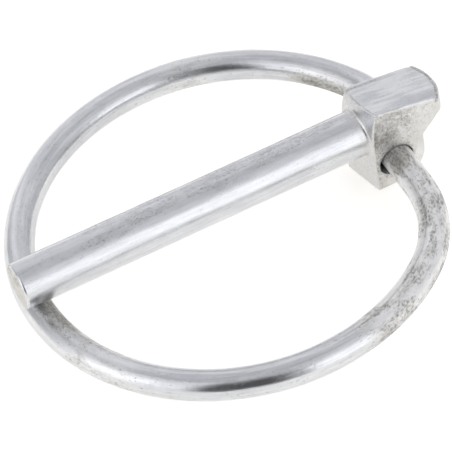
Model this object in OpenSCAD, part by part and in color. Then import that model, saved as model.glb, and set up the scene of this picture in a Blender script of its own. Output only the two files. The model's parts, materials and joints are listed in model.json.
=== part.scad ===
// Linch pin: a forged pin with a flattened, off-centre head, and a ring of
// spring wire that swings in the head's cross hole and closes under the tip.
// X runs along the shank to the tip, Y is the cross hole's axis and Z is up.
// The origin is on the shank's axis, at the shoulder. The ring is closed.

/* [Shank] */
// Diameter of the shank
shank_d = 6; // [4.5:0.1:6.5]
// Length of the shank, from the shoulder to the tip
shank_len = 46.8; // [40:0.1:60]
// Bevel around the tip's flat end
tip_bevel = 0.3; // [0.1:0.1:1.2]
// How far the radius falls along the tip's slight taper
lead_fall = 0.05; // [0.05:0.05:0.3]
// How far that taper starts before the closed ring's wire
lead_margin = 0.45; // [0.3:0.05:2]
// Radius of the fillet between the shank and the shoulder
root_fillet = 0.2; // [0.1:0.05:0.2]

/* [Head] */
// Thickness of the head, along the cross hole
head_w = 7.1; // [7.1:0.1:9]
// Length of the head, behind the shoulder
head_len = 10.5; // [9:0.1:12]
// Height of the head's top above the shank's axis, at the shoulder
head_top = 5.4; // [4.2:0.1:7]
// How far the top falls from the shoulder to the head's end
top_fall = 1.5; // [0:0.1:1.8]
// How far the top falls from its front edge to its back edge
side_fall = 0.7; // [0:0.1:1]
// Depth of the head's bottom below the shank's axis, at the middle of its shoulder
head_drop = 8.5; // [7.6:0.1:9]
// How far the bottom falls from its front edge to its back edge
bottom_fall = 1.4; // [0:0.1:1.6]
// Height of the end face below the top
end_face_h = 1.2; // [1:0.1:3]
// Height of the slope from the end face down to the eye
end_slope_h = 3.8; // [1:0.1:4]
// Radius of the end face, seen from above
end_bow_r = 7; // [5:0.1:9]
// Shift of that radius's middle to the front of the shank's axis
end_bow_shift = 0.1; // [0:0.1:1]
// Slope of the shoulder above the shank's axis, in degrees
shoulder_slope = 15; // [5:1:25]
// Distance from the shoulder to the start of the bevel on the top's front edge
bevel_start = 2; // [1:0.1:4]
// Width of that bevel at the head's end, on the top
bevel_in = 1.5; // [0.3:0.1:2]
// Width of that bevel at the head's end, on the front
bevel_down = 0.9; // [0.3:0.1:1.5]

/* [Cross hole] */
// Diameter of the hole that carries the ring
hole_d = 4.3; // [4.2:0.1:4.6]
// Distance of the hole's axis behind the shoulder
hole_back = 3; // [2.8:0.1:3.6]
// Drop of the hole's axis below the shank's axis
hole_drop = 3.7; // [3:0.1:4.4]
// Wall of the eye around the hole
eye_wall = 1.8; // [1.4:0.1:2.2]

/* [Ring] */
// Diameter of the ring's wire
wire_d = 3.9; // [3:0.1:4]
// How far the tip passes the middle of the wire
tip_over = 1.9; // [0.5:0.1:3]
// Gap between the closed ring and the shank's underside
tip_gap = 0.1; // [0.05:0.05:0.5]
// How far the ring's straight ends are set in from its circle
end_inset = 4.1; // [3.7:0.1:4.5]
// Shift of the ring's middle to the front of the shank's axis
ring_shift = 0.3; // [0:0.1:0.8]
// Angle round the ring, from the tip, at which the front end starts to bend
front_bend = 128; // [122:1:134]
// Distance along the hole's axis over which the back end steps in to the hole
back_run = 6.1; // [5.9:0.1:6.5]
// Lean of the back end's wire between its two bends, in degrees
back_lean = 50; // [46:1:53]
// Length of straight wire outside the hole, at the back
back_straight = 0.2; // [0.1:0.1:0.6]
// Gap between the ring's two ends, inside the hole
end_gap = 0.8; // [0.2:0.1:2]
// Length of the collar over each joint between two of the wire's bends
joint_len = 0.6; // [0.5:0.1:1]
// How far that collar stands proud of the wire
joint_lift = 0.05; // [0.05:0.01:0.1]
// Play between a joint's middle and each end of the wire inside its collar
joint_gap = 0.1; // [0.05:0.05:0.2]

/* [Hidden] */
$fn = 96;

head_r = head_w / 2;
shank_r = shank_d / 2;
wire_r = wire_d / 2;
eye_r = hole_d / 2 + eye_wall;
cut_size = 4 * (head_len + head_drop);
lead_len = tip_over + wire_r + lead_margin;

// The ring's circle spans from the cross hole to the tip
ring_r = (shank_len + hole_back + end_inset - tip_over) / 2;
ring_reach = ring_r - end_inset;

// The closed ring leans, so that its far side passes below the shank
ring_lean = asin((shank_r + wire_r + tip_gap - hole_drop) / (ring_reach + ring_r));

// The front end leaves the circle on one bend, which ends along the hole's axis
front_bend_r = (ring_r * cos(front_bend) + ring_reach) / (1 + cos(front_bend));

// The back end leaves it on two opposite bends, which step it in to the axis
leave_lean = asin((ring_shift + head_r + back_straight + back_run) / ring_r);
back_bend = 180 + leave_lean;
step_x = ring_r * cos(leave_lean) - ring_reach;
step_y = back_run;
step_det = (cos(leave_lean) - cos(back_lean)) * sin(back_lean)
    - (1 - cos(back_lean)) * (sin(back_lean) + sin(leave_lean));
out_bend_r = (step_x * sin(back_lean) - step_y * (1 - cos(back_lean))) / step_det;
in_bend_r = (step_y * (cos(leave_lean) - cos(back_lean))
    - step_x * (sin(back_lean) + sin(leave_lean))) / step_det;

// Everything on the far side of a plane through a point, along its normal
module beyond(point, normal) {
    translate(point)
        rotate([0, acos(normal[2] / norm(normal)), atan2(normal[1], normal[0])])
            translate([-cut_size / 2, -cut_size / 2, 0])
                cube(cut_size);
}

function top_at(x, y) = head_top + x * top_fall / head_len + (y - head_r) * side_fall / head_w;

// Round bar with a fillet at its root, and a tip that tapers slightly to a bevelled end
module shank() {
    root_r = shank_r + root_fillet;
    rotate([0, 90, 0])
        rotate_extrude()
            polygon(concat(
                [[0, -hole_back / 4], [root_r, -hole_back / 4]],
                [for (a = [0 : 10 : 90]) [root_r - root_fillet * sin(a), root_fillet * (1 - cos(a))]],
                [[shank_r, shank_len - lead_len], [shank_r - lead_fall, shank_len - tip_bevel]],
                [[shank_r - lead_fall - tip_bevel, shank_len], [0, shank_len]]));
}

// Side outline of the head: the upper block, and the eye that hangs below it
module head_side() {
    end_low = top_at(-head_len, 0) - end_face_h;
    difference() {
        union() {
            polygon([
                [0, head_top + 1],
                [-head_len, head_top + 1],
                [-head_len, end_low],
                [-hole_back - eye_r, end_low - end_slope_h],
                [-hole_back - eye_r, -hole_drop],
                [-hole_back, -hole_drop - eye_r],
                [0, -head_drop - bottom_fall]]);
            translate([-hole_back, -hole_drop])
                circle(r = eye_r);
        }
        translate([0, -cut_size / 2])
            square(cut_size);
    }
}

// Plan of the head, with its bowed end
module head_plan() {
    intersection() {
        translate([-head_len, -head_r])
            square([head_len, head_w]);
        translate([end_bow_r - head_len, end_bow_shift])
            circle(r = end_bow_r);
    }
    translate([end_bow_r - head_len, -head_r])
        square([head_len - end_bow_r, head_w]);
}

module head() {
    bevel_tip = [-bevel_start, head_r, top_at(-bevel_start, head_r)];
    on_top = [-head_len, head_r - bevel_in, top_at(-head_len, head_r - bevel_in)];
    on_front = [-head_len, head_r, top_at(-head_len, head_r) - bevel_down];
    difference() {
        intersection() {
            rotate([90, 0, 0])
                linear_extrude(head_w, center = true)
                    head_side();
            translate([0, 0, -cut_size / 2])
                linear_extrude(cut_size)
                    head_plan();
            union() {
                rotate([0, -90, 0])
                    cylinder(h = head_len, r1 = head_r, r2 = head_r + head_len / tan(shoulder_slope));
                translate([-cut_size / 2, -cut_size / 2, -cut_size])
                    cube(cut_size);
            }
        }
        beyond([0, head_r, head_top], [-top_fall / head_len, -side_fall / head_w, 1]);
        beyond([0, 0, -head_drop], [0, bottom_fall / head_w, -1]);
        beyond(bevel_tip, cross(on_front - bevel_tip, on_top - bevel_tip));
    }
}

module pin() {
    color("lightsteelblue")
        difference() {
            union() {
                shank();
                head();
            }
            translate([-hole_back, 0, -hole_drop])
                rotate([90, 0, 0])
                    cylinder(d = hole_d, h = 2 * head_w, center = true);
        }
}

// Angle that a length covers on a bend
function along(length, r) = length / r * 180 / PI;

// Bent wire about a point, from one angle round it to another, short of both by the joints' gap
module bend(point, r, from, to) {
    short = along(joint_gap, r);
    translate(point)
        rotate(from + short)
            rotate_extrude(angle = to - from - 2 * short)
                translate([r, 0])
                    circle(r = wire_r);
}

// Collar over the joint at an angle round a bend
module joint(point, r, at) {
    translate(point)
        rotate(at)
            translate([r, -joint_len / 2, 0])
                rotate([-90, 0, 0])
                    cylinder(r = wire_r + joint_lift, h = joint_len);
}

// Straight wire along Y, on the hole's axis
module wire(from_y, to_y) {
    translate([0, from_y, 0])
        rotate([-90, 0, 0])
            cylinder(r = wire_r, h = to_y - from_y);
}

// The closed ring in its own plane, with the hole's axis at X = 0
module flat_ring() {
    middle = [ring_reach, ring_shift];
    front_mid = middle + (ring_r - front_bend_r) * [cos(front_bend), sin(front_bend)];
    out_mid = middle + (ring_r - out_bend_r) * [cos(back_bend), sin(back_bend)];
    in_mid = [-in_bend_r, -head_r - back_straight];
    bend(middle, ring_r, back_bend - 360, front_bend);
    joint(middle, ring_r, front_bend);
    bend(front_mid, front_bend_r, front_bend, 180);
    joint(front_mid, front_bend_r, 180);
    wire(end_gap / 2, front_mid[1] - joint_gap);
    joint(middle, ring_r, back_bend);
    bend(out_mid, out_bend_r, 180 - back_lean, back_bend);
    joint(out_mid, out_bend_r, 180 - back_lean);
    bend(in_mid, in_bend_r, -back_lean, 0);
    joint(in_mid, in_bend_r, 0);
    wire(in_mid[1] + joint_gap, -end_gap / 2);
}

module ring() {
    color("silver")
        translate([-hole_back, 0, -hole_drop])
            rotate([0, ring_lean, 0])
                flat_ring();
}

pin();
ring();
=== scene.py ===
import json
from math import asin, cos, pi, radians, sin

import bmesh
import bpy
import numpy as np
from mathutils import Matrix, Vector, noise


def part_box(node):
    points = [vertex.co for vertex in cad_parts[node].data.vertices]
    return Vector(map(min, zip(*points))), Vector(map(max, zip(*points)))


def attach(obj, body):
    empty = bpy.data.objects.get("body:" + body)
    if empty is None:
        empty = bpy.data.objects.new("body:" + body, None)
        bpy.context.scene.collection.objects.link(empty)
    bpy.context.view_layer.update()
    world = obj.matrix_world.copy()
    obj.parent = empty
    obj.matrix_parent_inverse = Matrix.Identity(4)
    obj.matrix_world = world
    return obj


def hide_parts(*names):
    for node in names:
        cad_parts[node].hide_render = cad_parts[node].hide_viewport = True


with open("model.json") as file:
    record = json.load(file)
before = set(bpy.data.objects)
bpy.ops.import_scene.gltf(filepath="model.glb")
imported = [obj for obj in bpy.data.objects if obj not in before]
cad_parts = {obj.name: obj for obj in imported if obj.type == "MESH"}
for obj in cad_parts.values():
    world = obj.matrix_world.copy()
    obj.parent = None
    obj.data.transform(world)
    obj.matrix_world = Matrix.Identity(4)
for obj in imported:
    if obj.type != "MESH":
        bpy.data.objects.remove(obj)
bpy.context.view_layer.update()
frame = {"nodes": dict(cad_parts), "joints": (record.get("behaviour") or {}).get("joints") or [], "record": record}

# Linch pin: a forged, zinc plated pin and the ring of spring wire that swings in its head.
# Metres. X runs along the shank to the tip, Y along the cross hole, Z is up.

mm = 0.001
tiny = 1e-9                    # keeps a division off zero
lumpStep = (7.13, 3.71, 5.39)  # how far apart two seeds' noise is, for the shapes
grainStep = (3.1, 1.7, 2.3)    # and for the finish
pinNode = frame["nodes"]["pin"]
pinLow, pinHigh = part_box("pin")
holeX, _, holeZ = frame["joints"][0]["pos_m"]  # the cross hole's axis
shankRadius = frame["record"]["mounts"][0]["dims"]["r_mm"] * mm
print("frame: a shank of", round(2 * shankRadius / mm, 2), "mm")


def newObject(name, mesh, finish):
    obj = bpy.data.objects.new(name, mesh)
    bpy.context.scene.collection.objects.link(obj)
    mesh.materials.clear()
    mesh.materials.append(finish)
    for face in mesh.polygons:
        face.use_smooth = True
    return obj


def setPoints(mesh, points):
    mesh.vertices.foreach_set("co", np.asarray(points, np.float32).ravel())
    mesh.update()


def getVectors(mesh, kind):
    # the vertices' points ("co") or normals ("normal"), one to a row
    values = np.zeros(len(mesh.vertices) * 3, np.float32)
    mesh.vertices.foreach_get(kind, values)
    return values.reshape(-1, 3).astype(float)


def addValues(mesh, name, values):
    layer = mesh.attributes.new(name, "FLOAT", "POINT")
    layer.data.foreach_set("value", np.asarray(values, np.float32).ravel())


def addVectors(mesh, name, vectors):
    layer = mesh.attributes.new(name, "FLOAT_VECTOR", "POINT")
    layer.data.foreach_set("vector", np.asarray(vectors, np.float32).ravel())


def paintLayers(mesh, marks, spec):
    # each layer of the finish is the sum of the marks, by the shares that the piece's dictionary gives
    for layer in ("gritAndShade", "coarse", "warmth"):
        total = sum(share * marks[name] for name, share in spec[layer].items())
        addValues(mesh, layer, total.clip(0, 1))


def smoothStep(low, high, x):
    t = np.clip((x - low) / (high - low), 0, 1)
    return t * t * (3 - 2 * t)


def hump(x, middle, width, power=2):
    # 1 at the middle, falling off on both sides; a higher power has a flatter top and steeper sides
    return np.exp(-np.abs((x - middle) / width) ** power)


def lumps(points, size, seed, octaves=3):
    # fractal noise from 0 to 1 at each point; size is the lumps' along X, Y and Z
    weaker, finer = 0.9, 2.1  # how each octave differs from the last
    shift = Vector(seed * step for step in lumpStep)
    return np.array([0.5 + 0.5 * noise.fractal(Vector(p) + shift, weaker, finer, octaves)
                     for p in points / np.asarray(size, float)])


# Shader nodes

def link(tree, source, target):
    tree.links.new(source, target)


def addNode(tree, kind, **values):
    node = tree.nodes.new(kind)
    for name, value in values.items():
        if name in node.inputs:
            node.inputs[name].default_value = value
        else:
            setattr(node, name, value)
    return node


def addRamp(tree, source, stops):
    # stops are (position, colour or grey level)
    node = tree.nodes.new("ShaderNodeValToRGB")
    ramp = node.color_ramp
    while len(ramp.elements) < len(stops):
        ramp.elements.new(0.5)
    for element, (place, tone) in zip(ramp.elements, stops):
        element.position = place
        element.color = (tone, tone, tone, 1) if isinstance(tone, float) else (*tone, 1)
    link(tree, source, node.inputs["Fac"])
    return node.outputs["Color"]


def addMix(tree, kind, fac, a, b):
    # blends b over a; each is a colour or another node's output, and so is fac, or a number
    node = tree.nodes.new("ShaderNodeMix")
    node.data_type = "RGBA"
    node.blend_type = kind
    for value, target in ((fac, node.inputs[0]), (a, node.inputs[6]), (b, node.inputs[7])):
        if isinstance(value, float):
            target.default_value = value
        elif isinstance(value, tuple):
            target.default_value = (*value, 1)
        else:
            link(tree, value, target)
    return node.outputs[2]


def addMath(tree, kind, *values):
    node = tree.nodes.new("ShaderNodeMath")
    node.operation = kind
    for value, target in zip(values, node.inputs):
        if isinstance(value, float):
            target.default_value = value
        else:
            link(tree, value, target)
    return node.outputs[0]


def addAttribute(tree, name, output="Fac"):
    return addNode(tree, "ShaderNodeAttribute", attribute_name=name).outputs[output]


def grainNoise(tree, size, detail, rough, seed, twist=0.0):
    # noise on the grain coordinate, which is in millimetres and runs along the metal in X
    place = tree.nodes.new("ShaderNodeMapping")
    place.inputs["Scale"].default_value = tuple(1 / s for s in size)
    place.inputs["Location"].default_value = tuple(seed * step for step in grainStep)
    link(tree, addAttribute(tree, "grain", "Vector"), place.inputs["Vector"])
    cloud = addNode(tree, "ShaderNodeTexNoise", Scale=1.0, Detail=detail, Roughness=rough, Distortion=twist)
    link(tree, place.outputs["Vector"], cloud.inputs["Vector"])
    return cloud.outputs["Fac"]


# noise levels at which the ramps of both finishes step, and how strong the rust is at its weakest
plateRamps = {
    "streaks": (0.30, 0.50, 0.66),
    "clouds": (0.30, 0.62),
    "rust": (0.25, 0.7),
    "leastRust": 0.55,
    "smudges": (0.44, 0.62),
}


def zincPlate(name, look):
    # zinc plate in layers: grit thickens its grime and specks, and also carries painted shade, a painted shadow
    # and a painted reflection line; coarse makes it pale and chalky; rust warms it, that painted shadow and line
    # too
    mat = bpy.data.materials.new(name)
    mat.use_nodes = True
    tree = mat.node_tree
    metal = tree.nodes["Principled BSDF"]

    streaks = grainNoise(tree, look["streakSize"], detail=6.0, rough=0.65, seed=1)
    mottle = grainNoise(tree, look["mottleSize"], detail=5.0, rough=0.6, seed=2)
    specks = grainNoise(tree, look["speckSize"], detail=3.0, rough=0.6, seed=3, twist=look["speckTwist"])
    scratches = grainNoise(tree, look["scratchSize"], detail=3.0, rough=0.5, seed=4)
    smudges = grainNoise(tree, look["smudgeSize"], detail=5.0, rough=0.65, seed=5, twist=0.6)
    gritAndShade, coarse, rust = (addAttribute(tree, layer) for layer in ("gritAndShade", "coarse", "warmth"))

    def ramped(cloud, steps, *tones):
        return addRamp(tree, cloud, list(zip(steps, tones)))

    def layered(under, share, depth, over):
        return addMix(tree, "MIX", addMath(tree, "MULTIPLY", share, depth), under, over)

    # base: streaked plate, light to mid grey, cooler in the streaks
    tone = ramped(streaks, plateRamps["streaks"], look["dark"], look["mid"], look["light"])
    tone = addMix(tree, "MULTIPLY", 1.0, tone, ramped(mottle, plateRamps["clouds"], look["cloud"], 1.0))
    tone = layered(tone, coarse, look["paleShare"], look["pale"])
    patchy = ramped(mottle, plateRamps["rust"], plateRamps["leastRust"], 1.0)
    tone = layered(tone, rust, patchy, look["warm"])
    # smudges: soft grime where grit is, which also paints the shade, the shadow and the reflection line dark
    grime = addMath(tree, "MULTIPLY", ramped(smudges, plateRamps["smudges"], 0.0, 1.0), gritAndShade)
    tone = layered(tone, grime, look["grimeDepth"], look["grime"])
    # specks: small dark pits, thicker where grit is, so thicker in the painted shade and shadow too
    specksAndShade = addMath(tree, "ADD", specks, addMath(tree, "MULTIPLY", gritAndShade, look["gritReach"]))
    specksAndShade = ramped(specksAndShade, (look["speckStart"], look["speckStart"] + look["speckFade"]), 0.0, 1.0)
    tone = layered(tone, specksAndShade, look["speckDepth"], look["soot"])
    link(tree, tone, metal.inputs["Base Color"])

    # coarse plate is chalky, so less of a metal
    link(tree, addMath(tree, "MULTIPLY_ADD", coarse, -look["chalk"], 1.0), metal.inputs["Metallic"])

    # roughness: uneven, and duller on coarse plate and in the specks
    dull = addMath(tree, "MULTIPLY_ADD", mottle, look["roughSpan"], look["rough"])
    for layer, depth in ((coarse, look["coarseRough"]), (specksAndShade, look["speckRough"])):
        dull = addMath(tree, "ADD", dull, addMath(tree, "MULTIPLY", layer, depth))
    link(tree, dull, metal.inputs["Roughness"])

    # bump: fine draw lines along the grain, with the specks sunk in
    height = addMath(tree, "SUBTRACT", scratches, addMath(tree, "MULTIPLY", specksAndShade, look["speckSink"]))
    bump = addNode(tree, "ShaderNodeBump", Strength=look["bump"], Distance=look["bumpDepth"])
    link(tree, height, bump.inputs["Height"])
    link(tree, bump.outputs["Normal"], metal.inputs["Normal"])
    return mat


# The forged pin

forgedPin = {
    "voxel": 0.14 * mm,        # size of the mesh's cells
    "softening": 9,            # how far the forging's edges are rounded

    # shank and tip
    "trueFrom": 0.9 * mm,      # the shank is exactly round from here to the tip
    "trueFade": 0.6 * mm,
    "hollow": 0.020 * mm,      # depth of its shallow hollows
    "hollowSize": (7, 1.2, 1.2),
    "leadFall": 0.05 * mm,     # how far its radius falls towards the tip
    "leadLength": 4.3 * mm,
    "tipRound": 0.28 * mm,
    "sawSkew": 0.0175,         # slope of the saw cut across the tip
    "sawStep": 0.012 * mm,     # depth of the saw's lines
    "sawSize": (1, 1.4, 0.16),
    "sawFade": 0.5 * mm,       # distance from the tip's edge over which the cut deepens

    # shoulder
    "shoulderSkew": 0.7 * mm,  # how far its back edge stands ahead of its front edge
    "skewIn": (-1.3 * mm, 0),  # along X, where that comes in and goes out
    "skewOut": (0.3 * mm, 2 * mm),

    # the bevel along the head's front top edge
    "frontEdge": (-2 * mm, 3.55 * mm, 5.1 * mm),  # a point on the edge
    "frontEdgeSlope": 0.20,
    "frontEdgeWidth": 1.1 * mm,
    "frontEdgeRounds": 100,    # how far the edge is worn round
    "frontEdgeFade": (-1.5 * mm, -6 * mm),  # along X, where the wear grows

    # the head's faces: hollows all over, and a torn front; they are told apart by their normal along Y or Z
    "headFade": (-0.4 * mm, 0.5 * mm),
    "frontFacing": (0.75, 0.95),
    "topFacing": (0.8, 0.95),
    "hammer": 0.10 * mm,
    "hammerSize": (2.4, 2.4, 2.4),
    "tear": 0.07 * mm,
    "tearSize": (0.9, 1, 0.6),

    # the burr's groove, along the top's bowed end and its back edge
    "endBow": (-3.5 * mm, 0.1 * mm, 7 * mm),  # middle and radius of the head's end, from above
    "burrIn": 0.30 * mm,       # least distance from the end
    "backBurrIn": 0.546 * mm,  # least distance from the back edge
    "backBurrShare": 0.8,
    "backBurrFade": (-7 * mm, -3 * mm),
    "burrFacing": 0.3,         # least part of the normal along Z
    "burrDepth": 0.10 * mm,
    "burrWidth": 0.19 * mm,
    "burrWander": 0.25 * mm,   # how much further in it strays
    "burrWanderSize": (1.2, 1.2, 1.2),

    # the hole's front mouth
    "mouthWear": (0.22 * mm, -0.16 * mm),  # how far its edge is worn, along X and Z
    "mouthWearReach": (2.2 * mm, 3.2 * mm),  # distances from the hole's axis
    "mouthWearDepth": (1 * mm, 0.1 * mm),  # distances behind the front face
    # distances from the hole's axis, out to which the front is darker round its mouth
    "mouthDarkReach": (2.15 * mm, 3.0 * mm),

    # how much finer the finish's grain is on the front along X, Y and Z, on the tip, and on the top along Y
    "frontGrain": (1.7, 1.0, 0.55),
    "tipGrain": 0.7,
    "topGrain": 0.5,

    # marks: size of their noise in millimetres, and the noise levels or places between which they fade in
    "brushSize": (4.5, 0.5, 2.0),
    "brushEdges": (0.40, 0.68),
    "rustSize": (2.2, 2.2, 2.2),
    "upperSize": (7, 1.6, 1.6),
    "upperEdges": (0.42, 0.62),
    "upperTurn": 20,           # degrees from the shank's top to the back, where its marks are thickest
    "upperSpread": (0.2, 0.9),
    "shadeFrom": (-11 * mm, 1 * mm),  # X and Z added up, over which the front's dark shade grows
    "shadeShare": (0.5, 0.6),  # how strong that shade is, and how much more so where there's rust
    "shoulderFrom": (-1.2 * mm, 0.1 * mm),
    "footFrom": (2 * mm, -2 * mm),  # along Z, where the shoulder's lower part begins
    "footShare": 0.3,          # how strong its mark is above that

    # what each mark adds to the finish's layers
    "gritAndShade": {"upperMarks": 0.5, "frontShade": 1, "shoulder": 0.25, "mouth": 0.7, "burr": 1, "tip": 0.3},
    "coarse": {"front": 1, "tip": 0.8, "brushed": 0.55, "shoulderFoot": 0.6},
    "warmth": {"frontRust": 0.9, "tip": 1.1, "shoulder": 0.25, "burr": 0.5},
    "finish": {
        "streakSize": (9.0, 0.55, 0.55),
        "mottleSize": (2.6, 1.0, 1.0),
        "speckSize": (0.50, 0.20, 0.20),
        "speckTwist": 1.4,
        "scratchSize": (1.4, 0.08, 0.08),
        "smudgeSize": (1.6, 0.5, 0.5),
        "dark": (0.61, 0.62, 0.645),
        "mid": (0.68, 0.69, 0.71),
        "light": (0.74, 0.75, 0.765),
        "cloud": (0.90, 0.905, 0.91),
        "warm": (0.60, 0.58, 0.53),
        "pale": (0.91, 0.905, 0.885),
        "paleShare": 0.85,
        "chalk": 0.35,
        # grime, also the colour of the painted shade on the front
        "grime": (0.40, 0.39, 0.355),
        "grimeDepth": 0.6,
        "soot": (0.16, 0.16, 0.16),
        "gritReach": 0.22,
        "speckStart": 0.605,
        "speckFade": 0.24,
        "speckDepth": 0.75,
        "rough": 0.16,
        "roughSpan": 0.16,
        "coarseRough": 0.22,
        "speckRough": 0.18,
        "speckSink": 0.12,
        "bump": 0.26,
        "bumpDepth": 0.03 * mm,
    },
}


def remeshed(node, voxel):
    # the CAD node's shape as an even skin of small cells
    solid = bmesh.new()
    solid.from_mesh(node.data)
    bmesh.ops.remove_doubles(solid, verts=solid.verts, dist=0.001 * mm)
    mesh = bpy.data.meshes.new("forging")
    solid.to_mesh(mesh)
    solid.free()
    blank = bpy.data.objects.new("blank", mesh)
    bpy.context.scene.collection.objects.link(blank)
    skin = blank.modifiers.new("skin", "REMESH")
    skin.mode = "VOXEL"
    skin.voxel_size = voxel
    bpy.context.view_layer.update()
    shape = blank.evaluated_get(bpy.context.evaluated_depsgraph_get())
    result = bpy.data.meshes.new_from_object(shape)
    bpy.data.objects.remove(blank)
    return result


def soften(mesh, rounds, share=1, pull=0.6):
    # rounds the edges by pulling each point, or a share of it, towards the middle of its neighbours
    points = getVectors(mesh, "co")
    edges = np.zeros(len(mesh.edges) * 2, np.int32)
    mesh.edges.foreach_get("vertices", edges)
    a, b = edges.reshape(-1, 2).T
    count = np.bincount(np.concatenate([a, b]), minlength=len(points))[:, None]
    for _ in range(rounds):
        total = np.zeros_like(points)
        np.add.at(total, a, points[b])
        np.add.at(total, b, points[a])
        points += pull * share * (total / count - points)
    setPoints(mesh, points)
    return points


def skewShoulder(points, spec):
    x, y, _ = points.T
    towardsBack = (0.5 - y / (pinHigh.y - pinLow.y)).clip(0, 1)
    near = smoothStep(*spec["skewIn"], x) * (1 - smoothStep(*spec["skewOut"], x))
    x += spec["shoulderSkew"] * towardsBack * near


def frontEdgeWear(points, spec):
    # from 0 to 1 at each point: how much of the rounding the front top edge gets
    x, y, z = points.T
    edgeX, edgeY, edgeZ = spec["frontEdge"]
    away = np.hypot(y - edgeY, z - (edgeZ + spec["frontEdgeSlope"] * (x - edgeX)))
    return hump(away, 0, spec["frontEdgeWidth"]) * smoothStep(*spec["frontEdgeFade"], x)


def turnShank(points, spec):
    # the shank is exactly round again, with its hollows, its rounded tip and the saw cut across that
    x, y, z = points.T
    tipX, corner = pinHigh.x, spec["tipRound"]
    radius = np.hypot(y, z)
    barRadius = shankRadius - spec["leadFall"] * smoothStep(tipX - spec["leadLength"], tipX, x)
    onShank = smoothStep(spec["trueFrom"], spec["trueFrom"] + spec["trueFade"], x)
    hollow = spec["hollow"] * lumps(points / mm, spec["hollowSize"], seed=1)

    # how far each point lies past the middle line of the tip's rounding, along X and outwards
    outX, outR = x - (tipX - corner), radius - (barRadius - corner)
    reach = np.maximum(np.hypot(outX, outR), tiny)
    onCorner = (outX > 0) & (outR > 0)
    onTip = (outX > 0) & (outR <= 0)
    onSide = onShank * (outX <= 0) * (outR > -corner / 2)  # without the middle of the tip
    trueRadius = np.where(onCorner, barRadius - corner + corner * outR / reach,
                          radius + onSide * (barRadius - hollow - radius))
    x = np.where(onCorner, tipX - corner + corner * outX / reach, x)
    scale = trueRadius / np.maximum(radius, tiny)
    y, z = y * scale, z * scale

    sawn = spec["sawStep"] * lumps(np.column_stack([x, y, z]) / mm, spec["sawSize"], seed=5, octaves=2)
    cut = spec["sawSkew"] * (z + shankRadius) + sawn
    x = np.where(onTip, tipX - cut * smoothStep(0, spec["sawFade"], -outR), x)
    return x, y, z, onShank, onTip.astype(float)


def burrGroove(x, y, points, spec):
    # from 0 to 1 at each point of the head's top: how deep it lies in the burr's ragged groove
    bowX, bowY, bowRadius = spec["endBow"]
    wander = spec["burrWander"] * lumps(points / mm, spec["burrWanderSize"], seed=9)
    fromEnd = bowRadius - np.hypot(x - bowX, y - bowY)
    end = (x < bowX) * hump(fromEnd, spec["burrIn"] + wander, spec["burrWidth"])
    back = smoothStep(*spec["backBurrFade"], x) * hump(
        y - pinLow.y, spec["backBurrIn"] + wander, spec["burrWidth"])
    return np.maximum(end, spec["backBurrShare"] * back)


def wearMouth(x, y, z, spec):
    # the hole's front mouth is worn to one side, where the ring's wire pulls
    wearX, wearZ = spec["mouthWear"]
    fromHole = np.hypot(x - holeX, z - holeZ)
    length = np.maximum(fromHole * np.hypot(wearX, wearZ), tiny)
    towards = ((x - holeX) * wearX + (z - holeZ) * wearZ) / length
    inner, outer = (pinHigh.y - depth for depth in spec["mouthWearDepth"])
    share = towards.clip(0, 1) * smoothStep(inner, outer, y)
    share *= 1 - smoothStep(*spec["mouthWearReach"], fromHole)
    return x + wearX * share, z + wearZ * share, fromHole


def pinMarks(x, y, z, points, onShank, front, spec):
    # from 0 to 1 at each point: where the plate is dark, coarse or warm
    rust = lumps(points / mm, spec["rustSize"], seed=8)
    upper = smoothStep(*spec["upperSpread"], np.cos(np.arctan2(y, z) + radians(spec["upperTurn"])))
    upper = upper * smoothStep(*spec["upperEdges"], lumps(points / mm, spec["upperSize"], seed=7))
    least, more = spec["shadeShare"]
    shoulder = smoothStep(*spec["shoulderFrom"], x) * (1 - onShank)
    foot = spec["footShare"] + (1 - spec["footShare"]) * smoothStep(*spec["footFrom"], z)
    return {
        "front": front,
        "frontRust": front * rust,
        "frontShade": front * (least + more * rust) * smoothStep(*spec["shadeFrom"], x + z),
        "upperMarks": onShank * upper,
        "brushed": smoothStep(*spec["brushEdges"], lumps(points / mm, spec["brushSize"], seed=14)),
        "shoulder": shoulder,
        "shoulderFoot": shoulder * foot,
    }


def buildPin(spec):
    mesh = remeshed(pinNode, spec["voxel"])
    points = soften(mesh, spec["softening"])
    skewShoulder(points, spec)
    setPoints(mesh, points)
    points = soften(mesh, spec["frontEdgeRounds"], frontEdgeWear(points, spec)[:, None])
    normals = getVectors(mesh, "normal")
    x, y, z, onShank, tip = turnShank(points, spec)

    onHead = 1 - smoothStep(*spec["headFade"], x)
    front = onHead * smoothStep(*spec["frontFacing"], normals[:, 1])
    top = onHead * smoothStep(*spec["topFacing"], normals[:, 2])
    burr = onHead * burrGroove(x, y, points, spec) * (normals[:, 2] > spec["burrFacing"])
    depth = onHead * spec["hammer"] * lumps(points / mm, spec["hammerSize"], seed=2, octaves=2) ** 2
    depth += front * spec["tear"] * lumps(points / mm, spec["tearSize"], seed=3, octaves=4)
    depth += burr * spec["burrDepth"]
    x, z, fromHole = wearMouth(x, y, z, spec)
    moved = np.column_stack([x, y, z]) - normals * depth[:, None]
    setPoints(mesh, moved)

    marks = pinMarks(x, y, z, points, onShank, front, spec)
    marks.update({
        "brushed": top * marks["brushed"],
        "mouth": onHead * (1 - smoothStep(*spec["mouthDarkReach"], fromHole)),
        "burr": burr,
        "tip": tip,
    })
    paintLayers(mesh, marks, spec)
    finer = front[:, None] * (np.array(spec["frontGrain"]) - 1) + tip[:, None] * (spec["tipGrain"] - 1)
    grain = moved / mm * (1 + finer)
    grain[:, 1] *= 1 + top * (spec["topGrain"] - 1)
    addVectors(mesh, "grain", grain)

    obj = newObject("forged_pin", mesh, zincPlate("zincOnForging", spec["finish"]))
    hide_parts("pin")
    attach(obj, "pin_body")
    return obj


# The spring ring

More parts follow.
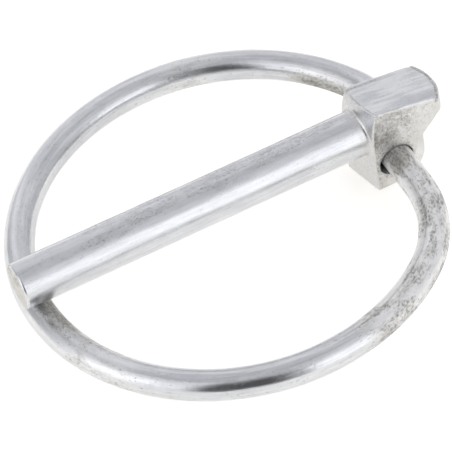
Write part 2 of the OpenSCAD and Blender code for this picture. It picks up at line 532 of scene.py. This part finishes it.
springRing = {
    "wireRadius": 1.94 * mm,
    "radius": 26.0 * mm,       # of the wire's middle line
    "reach": 21.9 * mm,        # from the hole's axis to the ring's middle
    "shift": 0.3 * mm,         # of the ring's middle to the front
    "frontBend": 128,          # degrees round the ring from the tip, where each end leaves the circle
    "backBend": 203,
    "backLean": 50,            # lean of the wire between the back end's two bends, in degrees
    "straightFrom": 3.75 * mm,  # half the head's width, and the straight wire outside it
    "endGap": 0.8 * mm,
    "endRound": 0.35 * mm,
    "tipGap": 0.11 * mm,       # between the wire and the shank above it
    "sides": 72,
    "step": 0.22 * mm,         # length of the mesh's cells along the wire
    "seat": (-0.08 * mm, 0.16 * mm),  # how far the ends sit back and up in the hole's play
    "seatFade": 9 * mm,        # length of wire over which that fades out

    # unevenness and pits: depth, and size of the lumps along the wire and across it
    "wander": 0.03 * mm,
    "wanderSize": (9, 2.5, 2.5),
    "pitDepth": 0.035 * mm,
    "pitSize": (0.42, 0.28, 0.28),
    "pitEdges": (0.64, 0.78),
    "pitBase": 0.25,           # how deep the pits are where there's no worn patch

    # worn stretches: degrees round the ring from the tip, first and last, and how worn
    "worn": [(96, 182, 1.0), (12, 44, 0.5), (-118, -92, 0.35)],
    "wornFade": 12,
    "patchSize": (3.4, 1.4, 1.4),
    "patchEdges": (0.34, 0.72),
    "patchBase": 0.15,         # how patchy the wire is where it isn't worn

    # dark spots, in degrees round the ring and round the wire: under the tip a painted shadow and reflection of
    # the shank, at the hole's mouth a dark spot, and inside the ring by the head a gritty dark spot
    "darkSpots": [
        # painted shadow and reflection of the shank on the wire under the tip
        {"turn": 7, "roll": 135, "width": 10, "height": 55},
        {"turn": 168, "roll": 125, "width": 5, "height": 45},
        {"turn": -149, "roll": 188, "width": 12, "height": 42},
    ],
    # a dark line painted in for a reflection, winding slowly over the wire and sunk as a shallow groove: degrees
    # round the ring, and round the wire
    "reflectionLine": {"turn": (100, 158), "roll": (94, 125), "fade": (12, 10), "width": 3.5, "depth": 0.02 * mm},

    # what each mark adds to the finish's layers
    "gritAndShade": {"all": 0.08, "worn": 0.18, "patches": 0.55, "pittedPatches": 0.25, "shadowAndSpots": 1, "paintedReflection": 0.2},
    "coarse": {"worn": 0.7, "patches": 0.2, "shadowAndSpots": 0.75},
    "warmth": {"patches": 0.35, "shadowAndSpots": 1, "paintedReflection": 0.7},
    "finish": {
        "streakSize": (12.0, 0.6, 0.6),
        "mottleSize": (3.0, 1.2, 1.2),
        "speckSize": (0.44, 0.26, 0.26),
        "speckTwist": 0.0,
        "scratchSize": (4.0, 0.12, 0.12),
        "smudgeSize": (1.5, 0.6, 0.6),
        "dark": (0.55, 0.565, 0.59),
        "mid": (0.67, 0.68, 0.70),
        "light": (0.77, 0.78, 0.795),
        "cloud": (0.90, 0.905, 0.91),
        "warm": (0.38, 0.365, 0.315),
        "pale": (0.97, 0.97, 0.96),
        "paleShare": 1.0,
        "chalk": 0.5,
        # grime, also the colour of the painted shadow under the tip and of the painted reflection line
        "grime": (0.33, 0.32, 0.29),
        "grimeDepth": 0.6,
        "soot": (0.17, 0.17, 0.17),
        "gritReach": 0.20,
        "speckStart": 0.63,
        "speckFade": 0.20,
        "speckDepth": 0.7,
        "rough": 0.10,
        "roughSpan": 0.18,
        "coarseRough": 0.28,
        "speckRough": 0.18,
        "speckSink": 0.1,
        "bump": 0.35,
        "bumpDepth": 0.03 * mm,
    },
}


def ringRoute(spec):
    # arcs (middle, radius, first angle, last angle) and straights of the wire's middle line,
    # in the ring's own plane, with the hole's axis at X = 0
    r, reach, shift = spec["radius"], spec["reach"], spec["shift"]
    front, leave, lean = (radians(a) for a in (spec["frontBend"], spec["backBend"] - 180, spec["backLean"]))
    frontR = (r * cos(front) + reach) / (1 + cos(front))
    frontMid = (reach + (r - frontR) * cos(front), shift + (r - frontR) * sin(front))

    # the back end's two opposite bends step the wire in to the hole's axis
    stepX = r * cos(leave) - reach
    stepY = r * sin(leave) - shift - spec["straightFrom"]
    det = (cos(leave) - cos(lean)) * sin(lean) - (1 - cos(lean)) * (sin(lean) + sin(leave))
    outR = (stepX * sin(lean) - stepY * (1 - cos(lean))) / det
    inR = (stepY * (cos(leave) - cos(lean)) - stepX * (sin(lean) + sin(leave))) / det
    back = pi + leave
    outMid = (reach + (r - outR) * cos(back), shift + (r - outR) * sin(back))
    return [
        ("straight", (0, spec["endGap"] / 2), (0, frontMid[1])),
        ("arc", frontMid, frontR, pi, front),
        ("arc", (reach, shift), r, front, back - 2 * pi),
        ("arc", outMid, outR, back, pi - lean),
        ("arc", (-inR, -spec["straightFrom"]), inR, -lean, 0),
        ("straight", (0, -spec["straightFrom"]), (0, -spec["endGap"] / 2)),
    ]


def ringLine(spec):
    # points and directions along the wire, an even step apart
    points, headings = [], []
    for kind, *facts in ringRoute(spec):
        if kind == "straight":
            a, b = np.array(facts[0]), np.array(facts[1])
            length = np.linalg.norm(b - a)
            cells = max(2, round(length / spec["step"]))
            for t in np.arange(cells) / cells:
                points.append(a + t * (b - a))
                headings.append((b - a) / length)
        else:
            middle, r, first, last = facts
            cells = max(4, round(abs(last - first) * r / spec["step"]))
            turn = 1 if last > first else -1
            for t in first + (last - first) * np.arange(cells) / cells:
                points.append(np.array(middle) + r * np.array([cos(t), sin(t)]))
                headings.append(turn * np.array([-sin(t), cos(t)]))
    points.append(b)
    headings.append(headings[-1])
    return np.array(points), np.array(headings)


def tubeMesh(name, points, rows, sides):
    # a closed tube over rows of points, with a flat cap at each end
    faces = []
    for i in range(0, (rows - 1) * sides, sides):
        for j in range(sides):
            k = (j + 1) % sides
            faces.append((i + j, i + k, i + sides + k, i + sides + j))
    faces.append(tuple(reversed(range(sides))))
    faces.append(tuple(range((rows - 1) * sides, rows * sides)))
    mesh = bpy.data.meshes.new(name)
    mesh.from_pydata(points.tolist(), [], faces)
    tube = bmesh.new()
    tube.from_mesh(mesh)
    bmesh.ops.recalc_face_normals(tube, faces=tube.faces)
    tube.to_mesh(mesh)
    tube.free()
    return mesh


def ringMarks(turn, roll, grain, spec):
    # turn is degrees round the ring, one to a row, and roll is degrees round the wire, one to a column
    def cloud(kind, seed, octaves):
        level = lumps(grain, spec[kind + "Size"], seed, octaves).reshape(len(turn), -1)
        return smoothStep(*spec[kind + "Edges"], level)

    fade = spec["wornFade"]
    worn = sum(share * smoothStep(first, first + fade, turn) * (1 - smoothStep(last - fade, last, turn))
               for first, last, share in spec["worn"])
    pits = cloud("pit", seed=12, octaves=2)
    patches = np.clip(cloud("patch", seed=13, octaves=4) * (spec["patchBase"] + worn), 0, 1)
    # the dark spots, with the painted shadow under the tip
    shadowAndSpots = sum(hump(turn, spot["turn"], spot["width"], power=4) * hump(roll, spot["roll"], spot["height"])
                for spot in spec["darkSpots"])
    # the dark line painted in for a reflection, winding over the wire
    draw = spec["reflectionLine"]
    (first, last), (fadeIn, fadeOut) = draw["turn"], draw["fade"]
    paintedReflection = hump(roll, np.interp(turn, draw["turn"], draw["roll"]), draw["width"])
    paintedReflection = paintedReflection * smoothStep(first - fadeIn, first, turn) * (1 - smoothStep(last, last + fadeOut, turn))
    return {
        "all": 1,
        "worn": worn,
        "pits": pits * (spec["pitBase"] + (1 - spec["pitBase"]) * patches),
        "patches": patches,
        "pittedPatches": pits * patches,
        "shadowAndSpots": shadowAndSpots,
        "paintedReflection": paintedReflection,
    }


def buildRing(spec):
    line, heading = ringLine(spec)
    rows, sides, r = len(line), spec["sides"], spec["wireRadius"]
    along = np.concatenate([[0], np.cumsum(np.linalg.norm(np.diff(line, axis=0), axis=1))])[:, None]
    angle = 2 * pi * np.arange(sides)[None] / sides
    turn = np.degrees(np.arctan2(line[:, 1] - spec["shift"], line[:, 0] - spec["reach"]))[:, None]
    grain = np.stack(np.broadcast_arrays(along, r * np.cos(angle), r * np.sin(angle)), -1)
    grain = grain.reshape(-1, 3) / mm
    marks = ringMarks(turn, np.degrees(angle), grain, spec)

    # the wire's radius at each point, with its rounded ends
    low = spec["wander"] * lumps(grain, spec["wanderSize"], seed=11, octaves=2).reshape(rows, sides)
    fromEnd = np.minimum(along, along[-1] - along)
    toEnd = (1 - fromEnd / spec["endRound"]).clip(0, 1)
    radius = r - spec["endRound"] * (1 - np.sqrt(1 - toEnd ** 2)) - low
    # the painted reflection line is also sunk as a shallow groove
    radius = radius - spec["pitDepth"] * marks["pits"] - spec["reflectionLine"]["depth"] * marks["paintedReflection"]

    # points in the ring's own plane, then leant so that its far side passes below the shank
    seatX, seatUp = spec["seat"]
    seated = 1 - smoothStep(spec["straightFrom"], spec["straightFrom"] + spec["seatFade"], fromEnd)
    outX, outY = -heading[:, 1:], heading[:, :1]  # to the ring's outside
    flatX = line[:, :1] + outX * radius * np.cos(angle) + seatX * seated
    flatY = line[:, 1:] + outY * radius * np.cos(angle)
    rise = radius * np.sin(angle) + seatUp * seated
    tipDrop = shankRadius + r + spec["tipGap"] + holeZ  # from the hole's axis down to the wire under the tip
    lean = asin(tipDrop / (spec["reach"] + spec["radius"]))
    points = np.stack([flatX * cos(lean) + rise * sin(lean) + holeX,
                       flatY,
                       rise * cos(lean) - flatX * sin(lean) + holeZ], -1).reshape(-1, 3)

    mesh = tubeMesh("springWire", points, rows, sides)
    paintLayers(mesh, marks, spec)
    addVectors(mesh, "grain", grain)
    obj = newObject("spring_ring", mesh, zincPlate("zincOnWire", spec["finish"]))
    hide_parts("ring")
    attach(obj, "ring_body")
    return obj


pin = buildPin(forgedPin)
print("pin:", len(pin.data.polygons), "faces")
ring = buildRing(springRing)
print("ring:", len(ring.data.polygons), "faces")

# the hidden CAD solids get a finish too
for node in frame["nodes"].values():
    node.data.materials.clear()
    node.data.materials.append(pin.data.materials[0])


# Floor, light and camera

studio = {
    "floorSize": 1.6,
    "floorX": 20 * mm,         # of the floor's middle
    "floorGap": 0.02 * mm,
    "floorColour": (0.93, 0.92, 0.89),
    "floorTint": (1.0, 0.985, 0.955),
    "floorGlow": 0.46,         # what the camera and the metal see besides the light on the floor
    # the room's walls: degrees from +X towards +Y, and how bright they are there
    "walls": [(-180, 0.76), (-104, 0.88), (-84, 1.00), (-64, 0.72), (-46, 0.58), (-28, 0.80), (-12, 1.02),
              (20, 1.20), (36, 1.15), (45, 0.11), (79, 0.09), (89, 0.60), (99, 1.05), (126, 1.00),
              (142, 0.80), (162, 0.70), (180, 0.76)],
    "blueShare": 0.035,        # how much more blue than red there is in the room's light
    "ceiling": 0.68,
    "ceilingRise": (48, 78),   # degrees up, over which the walls become the ceiling
    "softboxes": {
        "leftSoftbox": {"turn": 5, "rise": 19, "width": 0.30, "height": 0.42, "glow": 0.52},
        "rightSoftbox": {"turn": 110, "rise": 21, "width": 0.36, "height": 0.46, "glow": 0.5},
    },
    "softboxDistance": 0.6,
}


def buildFloor(spec):
    grid = bmesh.new()
    bmesh.ops.create_grid(grid, x_segments=2, y_segments=2, size=spec["floorSize"] / 2)
    mesh = bpy.data.meshes.new("floor")
    grid.to_mesh(mesh)
    grid.free()
    mat = bpy.data.materials.new("paleTable")
    mat.use_nodes = True
    tree = mat.node_tree
    tree.nodes.clear()
    matt = addNode(tree, "ShaderNodeBsdfDiffuse", Color=(*spec["floorColour"], 1))
    glow = addNode(tree, "ShaderNodeEmission", Color=(*spec["floorTint"], 1))
    path = tree.nodes.new("ShaderNodeLightPath")
    seen = addMath(tree, "MAXIMUM", path.outputs["Is Camera Ray"], path.outputs["Is Glossy Ray"])
    link(tree, addMath(tree, "MULTIPLY", seen, spec["floorGlow"]), glow.inputs["Strength"])
    both = tree.nodes.new("ShaderNodeAddShader")
    link(tree, matt.outputs[0], both.inputs[0])
    link(tree, glow.outputs[0], both.inputs[1])
    out = tree.nodes.new("ShaderNodeOutputMaterial")
    link(tree, both.outputs[0], out.inputs["Surface"])
    obj = newObject("floor", mesh, mat)
    obj.location = (spec["floorX"], 0, pinLow.z - spec["floorGap"])


def buildWorld(spec):
    world = bpy.data.worlds.new("softRoom")
    bpy.context.scene.world = world
    world.use_nodes = True
    tree = world.node_tree
    tree.nodes.clear()
    bluer = np.array([1, 1, 1 + spec["blueShare"]])

    # the room that lights the metal: walls that differ all round, and an even ceiling
    coords = tree.nodes.new("ShaderNodeTexCoord")
    parts = tree.nodes.new("ShaderNodeSeparateXYZ")
    link(tree, coords.outputs["Generated"], parts.inputs[0])
    turn = addMath(tree, "ARCTAN2", parts.outputs["Y"], parts.outputs["X"])
    walls = addRamp(tree, addMath(tree, "MULTIPLY_ADD", turn, 1 / (2 * pi), 0.5),
                    [(degrees / 360 + 0.5, tuple(level * bluer)) for degrees, level in spec["walls"]])
    low, high = (sin(radians(rise)) for rise in spec["ceilingRise"])
    up = addRamp(tree, parts.outputs["Z"], [(low, 0.0), (high, 1.0)])
    level = addMix(tree, "MIX", up, walls, tuple(spec["ceiling"] * bluer))

    # the camera itself sees white
    room = tree.nodes.new("ShaderNodeBackground")
    link(tree, level, room.inputs["Color"])
    white = addNode(tree, "ShaderNodeBackground", Color=(1, 1, 1, 1))
    path = tree.nodes.new("ShaderNodeLightPath")
    pick = tree.nodes.new("ShaderNodeMixShader")
    link(tree, path.outputs["Is Camera Ray"], pick.inputs[0])
    link(tree, room.outputs[0], pick.inputs[1])
    link(tree, white.outputs[0], pick.inputs[2])
    out = tree.nodes.new("ShaderNodeOutputWorld")
    link(tree, pick.outputs[0], out.inputs["Surface"])


def outFrom(centre, turn, rise, distance):
    # the point at that distance, turned from +X towards +Y and raised, in degrees
    turn, rise = radians(turn), radians(rise)
    return Vector(centre) + distance * Vector((cos(rise) * cos(turn), cos(rise) * sin(turn), sin(rise)))


def aimed(obj, place, target, roll=0):
    # puts obj at place, looking at target, turned by roll degrees
    back = (Vector(place) - Vector(target)).normalized()
    level = Vector((-back.y, back.x, 0)).normalized()
    right = level * cos(radians(roll)) + back.cross(level) * sin(radians(roll))
    turn = Matrix((right, back.cross(right), back)).transposed().to_4x4()
    obj.matrix_world = Matrix.Translation(place) @ turn


def buildSoftbox(name, spec, distance, centre):
    lamp = bpy.data.lights.new(name, "AREA")
    lamp.shape = "RECTANGLE"
    lamp.size, lamp.size_y = spec["width"], spec["height"]
    lamp.energy = spec["glow"] * pi * spec["width"] * spec["height"]
    obj = bpy.data.objects.new(name, lamp)
    bpy.context.scene.collection.objects.link(obj)
    obj.visible_camera = False
    aimed(obj, outFrom(centre, spec["turn"], spec["rise"], distance), centre)


view = {
    "target": (19.68 * mm, 1.01 * mm, -4.54 * mm),
    "distance": 429.3 * mm,
    "turn": 70.08,             # degrees from +X towards +Y
    "rise": 47.34,             # degrees up
    "roll": -9.72,
    "focal": 280.1,            # in millimetres, on a sensor 36 wide
    "sensor": 36,
    "clipStart": 10 * mm,
}


def buildCamera(spec):
    lens = bpy.data.cameras.new("camera")
    lens.lens = spec["focal"]
    lens.sensor_width = spec["sensor"]
    lens.clip_start = spec["clipStart"]
    obj = bpy.data.objects.new("camera", lens)
    bpy.context.scene.collection.objects.link(obj)
    place = outFrom(spec["target"], spec["turn"], spec["rise"], spec["distance"])
    aimed(obj, place, spec["target"], spec["roll"])
    bpy.context.scene.camera = obj


buildFloor(studio)
buildWorld(studio)
for name, softbox in studio["softboxes"].items():
    buildSoftbox(name, softbox, studio["softboxDistance"], view["target"])
buildCamera(view)
bpy.context.scene.view_settings.view_transform = "Standard"
print("stage: floor, light and camera")
